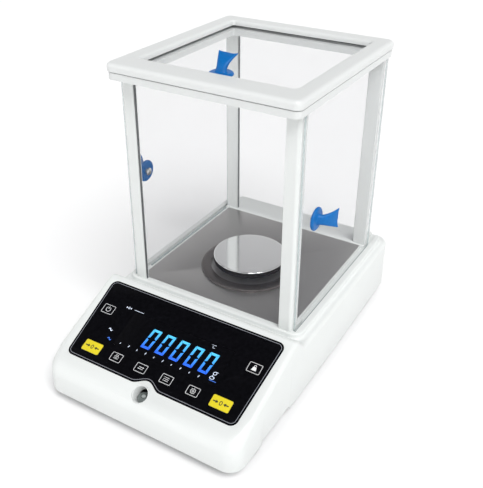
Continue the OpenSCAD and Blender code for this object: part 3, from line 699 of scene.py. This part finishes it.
def key_loop(node, grow):
    """A key's outline, grown by a margin."""
    r = 1.35
    x0, x1, v0, v1 = panel_rect(node)
    return rounded_rect(x0 - grow, x1 + grow, v0 - grow, v1 + grow, r + grow, 6)


def window_loop(grow):
    """The display window's outline, grown by a margin."""
    x0, x1, v0, v1 = panel_rect("display_window")
    return rounded_rect(x0 - grow, x1 + grow, v0 - grow, v1 + grow, 2 + grow, 6)


def build_panel():
    """The panel's plate, its window, the line printed along its edge, and what lies under it."""
    loops = [panel_loop(0), window_loop(0.1)] + [key_loop(k, 0.25) for k in KEYS]
    panel = plate("control_panel_plate", loops, -PANEL_T, 0, 0.12, ON_PANEL, 1)
    piece(panel, "housing", PANEL, ("control_panel",))
    window = plate("display_pane", [window_loop(-0.02)], -PANEL_T, 0, 0.08, ON_PANEL, 1)
    piece(window, "housing", PANEL, ("display_window",))
    border = bmesh.new()
    stroke(border, panel_loop(2.1), 0.5, PRINT_Z, closed=True)
    piece(from_bmesh("panel_border_line", border), "housing", LEGEND_GREY)
    soften("display_module", 0.3, CELL)
    soften("display_board", 0.1, BOARD)
    for node in KEYS:
        build_key(node)


def build_key(node):
    """A key: its cap and stem, and what is printed on the cap."""
    yellow = "tare" in node
    x0, x1, v0, v1 = panel_rect(node)
    cx, cy = (x0 + x1) / 2, (v0 + v1) / 2
    cap_t, stem_half, stem_low = 0.7, 1.5, -10.8
    lift = 0.25 if yellow else 0
    cap = plate("cap", [key_loop(node, 0)], -cap_t, lift, 0.2 if yellow else 0.08, ON_PANEL)
    stem = block("stem", (cx - stem_half, cy - stem_half, stem_low),
                 (cx + stem_half, cy + stem_half, -cap_t + 0.1))
    stem.data.transform(ON_PANEL)
    piece(join(node + "_cap", [cap, stem]), node, YELLOW if yellow else PANEL, (node,))
    legend = bmesh.new()
    LEGENDS[node](legend, cx, cy, lift + PRINT_Z)
    if not yellow:
        stroke(legend, key_loop(node, -0.35), 0.42, PRINT_Z, closed=True)
    piece(from_bmesh(node + "_legend", legend), node, LEGEND_BLACK if yellow else LEGEND)


def line(bm, points, x, y, z, width=0.5, closed=False):
    """A printed line on the panel, its points given from a middle."""
    stroke(bm, [(x + a, y + b) for a, b in points], width, z, closed)


def patch(bm, points, x, y, z):
    """A printed convex patch on the panel, its points given from a middle."""
    fill(bm, [(x + a, y + b) for a, b in points], z)


def legend_power(bm, x, y, z):
    """A ring with a bar in its gap."""
    line(bm, arc(0, 0, 2.6, 120, 420, 24), x, y, z)
    line(bm, [(0, 0.4), (0, 3.2)], x, y, z)


def legend_weight(bm, x, y, z):
    """A calibration weight with its knob."""
    patch(bm, [(-2.6, -2.6), (2.6, -2.6), (1.7, 1.0), (-1.7, 1.0)], x, y, z)
    line(bm, circle(0, 2.0, 1.0, 16), x, y, z, 0.45, True)


def legend_print(bm, x, y, z):
    """A printer with a sheet."""
    line(bm, [(-2.4, -1.4), (2.4, -1.4), (2.4, 1.0), (-2.4, 1.0)], x, y, z, 0.45, True)
    line(bm, [(-1.3, 1.0), (-1.3, 2.6), (1.3, 2.6), (1.3, 1.0)], x, y, z, 0.45)
    line(bm, [(-1.2, -0.4), (1.2, -0.4)], x, y, z, 0.4)


def legend_unit(bm, x, y, z):
    """Two opposite arrows."""
    line(bm, [(-2.6, 0.9), (2.2, 0.9)], x, y, z, 0.45)
    patch(bm, [(2.0, 0.2), (3.2, 0.9), (2.0, 1.6)], x, y, z)
    line(bm, [(-2.2, -0.9), (2.6, -0.9)], x, y, z, 0.45)
    patch(bm, [(-2.0, -1.6), (-2.0, -0.2), (-3.2, -0.9)], x, y, z)


def legend_mode(bm, x, y, z):
    """A list of three rows."""
    for row in (-1.7, 0, 1.7):
        line(bm, [(-1.6, row), (2.6, row)], x, y, z, 0.45)
        patch(bm, [(-2.9, row - 0.35), (-2.2, row - 0.35), (-2.2, row + 0.35), (-2.9, row + 0.35)], x, y, z)


def legend_setup(bm, x, y, z):
    """A gear wheel."""
    teeth, inner, outer = 8, 1.7, 2.7
    points = []
    for i in range(teeth):
        a = 360 * i / teeth
        points += arc(0, 0, outer, a - 9, a + 9, 1) + arc(0, 0, inner + 0.2, a + 15, a + 30, 1)
    line(bm, points, x, y, z, 0.42, True)
    line(bm, circle(0, 0, 0.8, 14), x, y, z, 0.4, True)


def legend_tare(bm, x, y, z):
    """An arrow from each side towards a zero."""
    zero = [(1.25 * a, 1.9 * b) for a, b in circle(0, 0, 1, 20)]
    line(bm, zero, x, y, z, 0.75, True)
    for s in (-1, 1):
        line(bm, [(s * 8.2, 0), (s * 4.6, 0)], x, y, z, 1.1)
        head = [(s * 2.6, 0), (s * 5.2, s * 1.7), (s * 5.2, -s * 1.7)]
        patch(bm, head, x, y, z)


LEGENDS = {"key_power": legend_power, "key_calibrate": legend_weight, "key_print": legend_print,
           "key_unit": legend_unit, "key_mode": legend_mode, "key_setup": legend_setup,
           "key_tare_left": legend_tare, "key_tare_right": legend_tare}


def zero_segments(width, height, bar, gap):
    """The six lit segments of a seven-segment zero, before it is slanted."""
    half = height / 2
    top = [(gap, height), (width - gap, height), (width - gap - bar, height - bar),
           (gap + bar, height - bar)]
    upper = [(0, height - gap), (bar, height - gap - bar), (bar, half + gap + bar / 2), (0, half + gap)]

    def flip_x(points):
        return [(width - x, y) for x, y in points]

    def flip_y(points):
        return [(x, height - y) for x, y in points]
    return [top, flip_y(top), upper, flip_y(upper), flip_x(upper), flip_x(flip_y(upper))]


def build_digits(centre, base, slant):
    """Five slanted zeros."""
    height, width, pitch, bar, gap = 22.4, 10.2, 16.6, 2.5, 0.22
    first = centre - 31.2
    digits = bmesh.new()
    for n in range(5):
        for segment in zero_segments(width, height, bar, gap):
            points = [(first + n * pitch + x + slant * y, base + y) for x, y in segment]
            fill(digits, points, PRINT_Z)
    piece(from_bmesh("display_digits", digits), "housing", DIGITS)


def small_zero(bm, x, y):
    """A small zero with an arrow from each side."""
    line(bm, [(0.75 * a, 1.15 * b) for a, b in circle(0, 0, 1, 14)], x, y, PRINT_Z, 0.45, True)
    for s in (-1, 1):
        patch(bm, [(s * 1.5, 0), (s * 3.1, s * 0.95), (s * 3.1, -s * 0.95)], x, y, PRINT_Z)


def build_display():
    """What the display shows: five zeros, a scale of marks under them, and a few signs."""
    x0, x1, v0, v1 = panel_rect("display_window")
    centre = (x0 + x1) / 2
    slant, wave_width, above_window = 0.11, 0.8, v1 + 1.6
    build_digits(centre, v0 + 8, slant)
    wave = [(-2.2 + 0.4 * i, 1.1 * math.sin(math.pi * i / 5.5)) for i in range(12)]

    marks = bmesh.new()
    first_tick, tick_pitch, tick_width = centre - 52.5, 10.2, 0.65
    for n in range(10):
        tall = 2.2 if n % 2 else 1.5
        lean = slant * tall * 3
        line(marks, [(0, 0), (lean, tall)], first_tick + n * tick_pitch, v0 + 2.6, PRINT_Z, tick_width)
    line(marks, [(0, 0), (11.5, 0)], centre - 61, above_window, PRINT_Z, 0.4)
    small_zero(marks, centre - 67.9, above_window)
    line(marks, wave, centre - 71.2, v0 + 12.6, PRINT_Z, wave_width)
    piece(from_bmesh("display_marks", marks), "housing", LIT_WHITE)

    signs = bmesh.new()
    line(signs, wave, centre - 66.2, v0 + 3.2, PRINT_Z, wave_width)
    line(signs, [(0, 0), (7.5, 0)], centre + 50.5, v0 + 4.6, PRINT_Z, 0.55)
    piece(from_bmesh("display_signs", signs), "housing", LIT_BLUE)
    for name, words, size, x, v in (("display_gram", "g", 13.0, centre + 49.6, v0 + 8.4),
                                    ("display_degree", "°C", 5.2, centre + 33.6, v1 - 5.0)):
        piece(text(name, words, size, x, v), "housing", LIT_WHITE)


def text(name, words, size, x, v):
    """A thin, slanted unit sign on the panel."""
    thinning = 0.018
    curve = bpy.data.curves.new(name, "FONT")
    curve.body = words
    curve.size = size
    curve.extrude = 0.025
    curve.offset = -thinning * size
    curve.shear = 0.15
    obj = apply_modifiers(new_object(name, curve))
    obj.data.transform(ON_PANEL @ Matrix.Translation((x, v, PRINT_Z)))
    return obj


def build_level():
    """The round spirit level in the front lip: a white bezel, and the vial with its mark and bubble."""
    bore, length, proud = 7.6, 12, 0.6
    outer, low = LEVEL_R, proud - length
    profile = [(bore, low), (outer, low), (outer, 0.1), (outer - 0.15, 0.4), (outer - 0.5, proud),
               (bore + 0.45, proud), (bore + 0.12, 0.4), (bore, 0.05), (bore, low)]
    bezel = lathe("level_ring", profile, 72)
    bezel.data.transform(LEVEL_AXIS)
    piece(bezel, "housing", WHITE, ("level_bezel",))
    low, high = box("level_vial")
    centre = ((low.x + high.x) / 2, (low.y + high.y) / 2, 0)
    r, top = (high.x - low.x) / 2, high.z
    profile = [(0, low.z), (r, low.z), (r, top - 0.6), (r - 0.4, top - 0.15), (r - 1, top), (0, top + 0.25)]
    piece(lathe("level_glass", profile, 64, centre), "housing", LIQUID, ("level_vial",))
    mark_in, mark_out, z = 2.6, 3.0, top + 0.28
    profile = [(mark_in, z - 0.1), (mark_out, z - 0.1), (mark_out, z), (mark_in, z), (mark_in, z - 0.1)]
    piece(lathe("level_circle", profile, 48, centre), "housing", LEGEND_BLACK)
    profile = [(0, z - 0.2), (2.1, z - 0.1), (1.9, z + 0.3), (1.2, z + 0.6), (0, z + 0.75)]
    piece(lathe("level_bubble", profile, 48, centre), "housing", BUBBLE)


# ---------- draft shield ----------

def build_posts():
    """The four posts, and the lower top frame that they carry."""
    for node in ("front_left_post", "front_right_post", "rear_left_post", "rear_right_post"):
        soften(node, 0.9, WHITE, 50)
    soften("lower_top_frame", 0.45, FRAME, 50)


def frame_ring(x, y0, y1, r, z):
    """A ring of the cover, as wide to the left as to the right."""
    return ring(rounded_rect(-x, x, y0, y1, r, 10), z)


def build_cover():
    """The top cover: a soft outer edge, a round-cornered opening, and the slot for the top door."""
    x, y0, y1, z0, z1 = COVER_HI.x, COVER_LO.y, COVER_HI.y, COVER_LO.z, COVER_HI.z
    outer_r, edge, lip, seam, seam_h, chamfer = 7, 4.2, 3.2, 2.4, 0.9, 0.3
    open_x, open_y0, open_y1, open_r, rim = 82, -39, 131, 4, 0.4
    slot_x, slot_y0, slot_y1, slot_r = LID_GLASS_HI.x + 0.3, LID_GLASS_LO.y - 0.3, LID_GLASS_HI.y + 2, 2
    slot_z = LID_GLASS_HI.z + 0.35

    def outside(inset, r, z):
        return frame_ring(x - inset, y0 + inset, y1 - inset, r, z)

    def inside(outset, r, z):
        return frame_ring(open_x + outset, open_y0 - outset, open_y1 + outset, r, z)
    rings = [outside(seam, outer_r - seam, z0), outside(seam, outer_r - seam, z0 + seam_h),
             outside(chamfer, outer_r, z0 + seam_h), outside(0, outer_r, z0 + seam_h + chamfer)]
    for k in range(9):
        a = math.radians(11.25 * k)
        d = edge * (1 - math.cos(a))
        rings.append(outside(d, outer_r - d * 0.6, z1 - edge * (1 - math.sin(a))))
    for k in range(6):
        a = math.radians(18 * k)
        d = lip * (1 - math.sin(a))
        rings.append(inside(d, open_r + d, z1 - lip * (1 - math.cos(a))))
    rings += [inside(0, open_r, slot_z + rim), inside(rim, open_r, slot_z)]
    rings += [frame_ring(slot_x, slot_y0, slot_y1, slot_r, z) for z in (slot_z, z0)]
    back = block("back_slot", (-slot_x, slot_y1 - 3, z0 - 1), (slot_x, y1 + 5, slot_z))
    cover = cut(loft("cover", rings, around=True), [back])
    cover.name = "top_cover_frame"
    piece(cover, "housing", FRAME, ("top_cover",))


def edge_faces(obj, axis, material):
    """Gives the narrow faces of a pane, those that don't face along axis, a material of their own."""
    obj.data.materials.append(material)
    for polygon in obj.data.polygons:
        if abs(polygon.normal[axis]) < 0.6:
            polygon.material_index = 1


def pane(name, node, body, axis, holes=(), shrink=0.0, edge=None):
    """A sheet of glass with ground edges, thin along one axis."""
    low, high = box(node)
    u, v = [i for i in range(3) if i != axis]
    outline = rounded_rect(low[u] + shrink, high[u] - shrink, low[v], high[v], 0.8, 3)
    loops = [outline] + [circle(a, b, r) for a, b, r in holes]
    if axis == 2:
        turn = Matrix.Identity(4)
    elif axis == 1:
        turn = Matrix(((1, 0, 0, 0), (0, 0, 1, 0), (0, 1, 0, 0), (0, 0, 0, 1)))
    else:
        turn = Matrix(((0, 0, 1, 0), (1, 0, 0, 0), (0, 1, 0, 0), (0, 0, 0, 1)))
    obj = plate(name, loops, low[axis], high[axis], 0.25, turn)
    piece(obj, body, GLASS, (node,))
    edge_faces(obj, axis, edge or GLASS_EDGE)
    return obj


def handle_place(node):
    """The middle of a handle's disc on its glass."""
    low, high = box(node)
    if node == "top_handle":
        r = (high.x - low.x) / 2
        return Vector(((low.x + high.x) / 2, low.y + r, low.z))
    r = (high.z - low.z) / 2
    x = low.x if node == "right_handle" else high.x
    return Vector((x, low.y + r, (low.z + high.z) / 2))


def build_glass():
    """The front and rear panes, and the three doors with the holes for their handle screws."""
    inset, hole_r = 3.25, 2.25
    for side in ("front", "rear"):
        pane(side + "_glass_pane", side + "_glass", "housing", 1, shrink=inset)
    for side in ("left", "right"):
        at = handle_place(side + "_handle")
        hole = (at.y, at.z, hole_r)
        pane(side + "_door_pane", side + "_door_glass", side + "_door", 0, [hole], edge=DOOR_EDGE)
    at = handle_place("top_handle")
    pane("top_door_pane", "top_door_glass", "top_door", 2, [(at.x, at.y, hole_r)])


def blade_ring(t):
    """One ring of the handle's blade, at a share t of its height."""
    height, lean, neck, tip_half, waist, tip_thick = 17.5, 13.0, 5.2, 10.5, 5.5, 1.3
    root_flare, dip_depth, bend, around = 3.4, 2.2, 2.2, 40
    h = height * t
    if h > waist:
        half = neck + (tip_half - neck) * ((h - waist) / (height - waist)) ** 1.6
    else:
        half = neck + root_flare * (1 - h / waist) ** 2
    root_thick = neck * 0.95
    thick = half if h < 1 else root_thick + (tip_thick - root_thick) * t ** 0.7
    sweep = lean * t ** bend
    tilt = math.atan2(lean * bend * t ** (bend - 1), height)
    points = []
    for k in range(around):
        a = 2 * math.pi * k / around
        c, s = math.cos(a), math.sin(a)
        u = half * math.copysign(abs(c) ** 0.75, c)
        w = thick * math.copysign(abs(s) ** 0.85, s)
        dip = dip_depth * (1 - (u / half) ** 2) * t ** 4
        points.append((u, sweep + w * math.cos(tilt), h - w * math.sin(tilt) - dip + 0.5))
    return points


def handle_mesh(name):
    """A pull handle standing on its disc: a waisted blade that widens and sweeps back along +Y."""
    disc_r, disc_t, steps = 11.6, 3.0, 22
    disc = lathe("disc", [(0, 0), (disc_r - 0.5, 0), (disc_r, 0.5), (disc_r, 1.4), (disc_r - 0.5, 2.3),
                          (disc_r - 1.8, disc_t), (0, disc_t + 0.4)], 72)
    blade = loft("blade", [blade_ring(i / steps) for i in range(steps + 1)])
    solid = join(name, [disc, blade])
    merge = solid.modifiers.new("merge", "REMESH")
    merge.mode = "VOXEL"
    merge.voxel_size = 0.42
    relax = solid.modifiers.new("relax", "SMOOTH")
    relax.factor = 0.5
    relax.iterations = 5
    return apply_modifiers(solid)


def screw_mesh(name):
    """A pan-head screw with a cross recess; its head hangs under the glass, its shank points up."""
    head_r, head_h, shank_r, shank = 4.0, 1.6, 2.0, 7.5
    arm, half, low, high = 2.0, 0.4, -3, -0.8
    profile = [(0, -head_h), (2.0, -head_h + 0.05), (3.2, -head_h + 0.45), (head_r, -0.35), (head_r, 0),
               (shank_r, 0), (shank_r, shank), (0, shank)]
    cross = [block("cross", (-a, -b, low), (a, b, high)) for a, b in ((arm, half), (half, arm))]
    return cut(lathe(name, profile, 48), cross)


def build_handles():
    """A handle outside each door, and its screw from inside."""
    side_t, top_t = DOOR_HI.x - DOOR_LO.x, LID_GLASS_HI.z - LID_GLASS_LO.z
    up = Matrix.Identity(4)
    right = Matrix(((0, 0, 1, 0), (0, 1, 0, 0), (-1, 0, 0, 0), (0, 0, 0, 1)))
    left = Matrix(((0, 0, -1, 0), (0, 1, 0, 0), (1, 0, 0, 0), (0, 0, 0, 1)))
    for side, turn, thick in (("left", left, side_t), ("right", right, side_t), ("top", up, top_t)):
        at = Matrix.Translation(handle_place(side + "_handle")) @ turn
        grip = handle_mesh(side + "_pull")
        grip.data.transform(at)
        piece(grip, side + "_door", BLUE, (side + "_handle",), 60)
        screw = screw_mesh(side + "_pull_screw")
        screw.data.transform(at @ Matrix.Translation((0, 0, -thick)))
        piece(screw, side + "_door", BRIGHT, (side + "_handle_screw",))


# ---------- weighing chamber ----------

def build_floor():
    """The steel floor with the hole for the spindle, and the draft ring that lies on it, its steel darkened
    as painted shade under the pan.
    """
    hole_r, ring_r = 9, 43
    loops = [rounded_rect(FLOOR_LO.x, FLOOR_HI.x, FLOOR_LO.y, FLOOR_HI.y, 0.6, 2), circle(0, PAN_Y, hole_r)]
    floor = plate("chamber_floor", loops, FLOOR_LO.z, DECK_Z + 0.05, 0.12)
    piece(floor, "housing", FLOOR_STEEL, ("floor_plate",))
    low, high = box("draft_ring")
    outer, z0, z1 = (high.x - low.x) / 2, low.z, high.z
    profile = [(ring_r, z0), (outer, z0), (outer, z0 + 0.5), (outer - 0.7, z1 - 0.5),
               (outer - 2.0, z1 - 0.1), (outer - 4, z1), (ring_r + 0.8, z1), (ring_r + 0.2, z1 - 0.2),
               (ring_r, z1 - 0.8), (ring_r, z0)]
    turned = lathe("draft_ring_turned", profile, 128, (0, PAN_Y, 0))
    # The draft ring gets the darkened steel: painted shade under the pan.
    piece(turned, "draft_ring", RING_STEEL_PAINTED_SHADE, ("draft_ring",))


def build_pan():
    """The pressed pan: a flat dish with a rounded shoulder, a skirt coloured near black as a painted dark
    reflection, and a socket under it.
    """
    r, top, bottom = (PAN_HI.x - PAN_LO.x) / 2, PAN_HI.z, PAN_LO.z
    edge, sheet, boss_out, boss_in, boss_low = 0.8, 1, 7.2, 6, 2.4
    profile = [(0, top), (r - edge - 0.6, top)]
    profile += [(r - edge + edge * math.sin(a), top - edge + edge * math.cos(a))
                for a in [math.radians(15 * k) for k in range(7)]]
    profile += [(r, bottom + 0.5), (r - 0.2, bottom + 0.1), (r - 0.5, bottom), (r - 0.9, bottom + 0.2),
                (r - sheet, bottom + 0.6), (r - sheet, top - 1.8), (r - 1.4, top - 1.15),
                (r - 2, top - sheet), (boss_out, top - sheet), (boss_out, top - boss_low),
                (boss_in, top - boss_low), (boss_in, top - sheet), (0, top - sheet)]
    pan = lathe("weighing_pan_dish", profile, 160, (0, PAN_Y, 0))
    piece(pan, "weighing_pan", PAN_STEEL, ("weighing_pan",))
    # The skirt's faces get the near-black material, a painted dark reflection in place of steel.
    pan.data.materials.append(PAN_SKIRT_PAINTED_REFLECTION)
    for polygon in pan.data.polygons:
        middle = polygon.center / MM
        if math.hypot(middle.x, middle.y - PAN_Y) > r - 1.3 and middle.z < top - edge:
            polygon.material_index = 1
    soften("pan_support", 0.2, BRIGHT)
    soften("weighing_spindle", 0.2, BRIGHT)


def build_inside():
    """The weigh cell, its shield, the main board and its cable, as the CAD has them."""
    for node, width, material in (("cell_frame", 0.4, ALLOY), ("cell_beam", 0.4, ALLOY),
                                  ("cell_magnet", 0.3, DARK_STEEL), ("cell_coil", 0.2, COPPER),
                                  ("position_sensor", 0.3, BLACK), ("cell_shield", 0.3, FLOOR_STEEL),
                                  ("main_board", 0.1, BOARD), ("ribbon_cable", 0.1, CABLE)):
        soften(node, width, material)


def build_sockets():
    """The supply inlet and the two ports at the back, as the CAD has them."""
    soften("dc_inlet", 0.15, BLACK)
    soften("serial_port", 0.2, BRIGHT)
    soften("usb_port", 0.2, BRIGHT)


# ---------- stage ----------

def build_stage():
    """A plain pale floor under the balance."""
    half = 4.0
    mesh = bpy.data.meshes.new("studio_floor")
    corners = [(-half, -half, 0), (half, -half, 0), (half, half, 0), (-half, half, 0)]
    mesh.from_pydata(corners, [], [(0, 1, 2, 3)])
    floor = new_object("studio_floor", mesh)
    material, _, surface = shader("studio_floor")
    surface.inputs["Base Color"].default_value = (0.94, 0.94, 0.94, 1)
    surface.inputs["Roughness"].default_value = 0.9
    surface.inputs["Specular IOR Level"].default_value = 0.1
    mesh.materials.append(material)


def soft_sun(name, towards, angle, strength):
    """Even soft light that shines along a direction."""
    data = bpy.data.lights.new(name, "SUN")
    data.angle = math.radians(angle)
    data.energy = strength
    lamp = bpy.data.objects.new(name, data)
    bpy.context.scene.collection.objects.link(lamp)
    lamp.rotation_mode = "QUATERNION"
    lamp.rotation_quaternion = Vector(towards).to_track_quat("-Z", "Y")


def build_light():
    """A world that is bright at the horizon and dim above, a key sun from the right, and a weak fill."""
    world = bpy.data.worlds.new("studio")
    bpy.context.scene.world = world
    world.use_nodes = True
    nodes, links = world.node_tree.nodes, world.node_tree.links
    sky = nodes["Background"]
    sky.inputs["Strength"].default_value = 1.0
    place = nodes.new("ShaderNodeTexCoord")
    split = nodes.new("ShaderNodeSeparateXYZ")
    ramp = nodes.new("ShaderNodeValToRGB")
    ramp.color_ramp.elements[0].position = 0.25
    ramp.color_ramp.elements[0].color = (1.05, 1.05, 1.05, 1)
    ramp.color_ramp.elements[1].position = 0.75
    ramp.color_ramp.elements[1].color = (0.12, 0.12, 0.125, 1)
    links.new(place.outputs["Generated"], split.inputs["Vector"])
    links.new(split.outputs["Z"], ramp.inputs["Fac"])
    links.new(ramp.outputs["Color"], sky.inputs["Color"])
    soft_sun("key", (-0.55, 0.42, -1.0), 34, 2.7)
    soft_sun("fill", (0.6, 0.7, -0.35), 60, 0.3)
    bpy.context.scene.view_settings.view_transform = "Standard"


def build_camera():
    """The camera of the photo, given by its place, its two viewing angles, its roll and its lens."""
    azimuth, elevation, roll = math.radians(30.48), math.radians(28.84), math.radians(0.45)
    place = Vector((325.3, -539.9, 507.4)) * MM
    back = Vector((math.sin(azimuth) * math.cos(elevation), -math.cos(azimuth) * math.cos(elevation),
                   math.sin(elevation)))
    across = Vector((math.cos(azimuth), math.sin(azimuth), 0))
    up = back.cross(across)
    right = across * math.cos(roll) + up * math.sin(roll)
    up = up * math.cos(roll) - across * math.sin(roll)
    data = bpy.data.cameras.new("camera")
    data.lens = 51.8
    data.sensor_width = 36
    data.shift_y = -0.069
    data.clip_start = 0.01
    camera = bpy.data.objects.new("camera", data)
    bpy.context.scene.collection.objects.link(camera)
    turn = Matrix((right, up, back)).transposed().to_4x4()
    camera.matrix_world = Matrix.Translation(place) @ turn
    bpy.context.scene.camera = camera


build_camera()
build_light()
build_stage()
build_housing()
build_base()
build_panel()
build_display()
build_level()
build_posts()
build_cover()
build_glass()
build_handles()
build_floor()
build_pan()
build_inside()
build_sockets()
